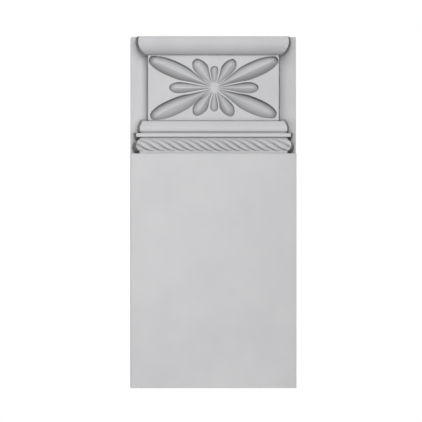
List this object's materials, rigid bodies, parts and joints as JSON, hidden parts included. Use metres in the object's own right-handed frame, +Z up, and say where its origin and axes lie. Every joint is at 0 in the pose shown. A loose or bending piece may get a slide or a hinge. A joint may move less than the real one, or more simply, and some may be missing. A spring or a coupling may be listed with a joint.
{
  "type": "plinth block",
  "caption": "Moulded plinth block for the foot of a door surround: plain base, rope moulding, sunk flower panel and rounded top bead on a flat board.",
  "frame": {"origin": "centre of the bounding box at the flat underside", "axes": "+Z up along the block's height; the ornament faces -Y; the flat back faces +Y; X runs across the width"},
  "size_m": [0.108, 0.0286, 0.2286],
  "materials": {
    "white_primer": "matte factory primer on moulded polyurethane"
  },
  "bodies": {
    "root": {"plinth_block": "white_primer"}
  },
  "joints": []
}
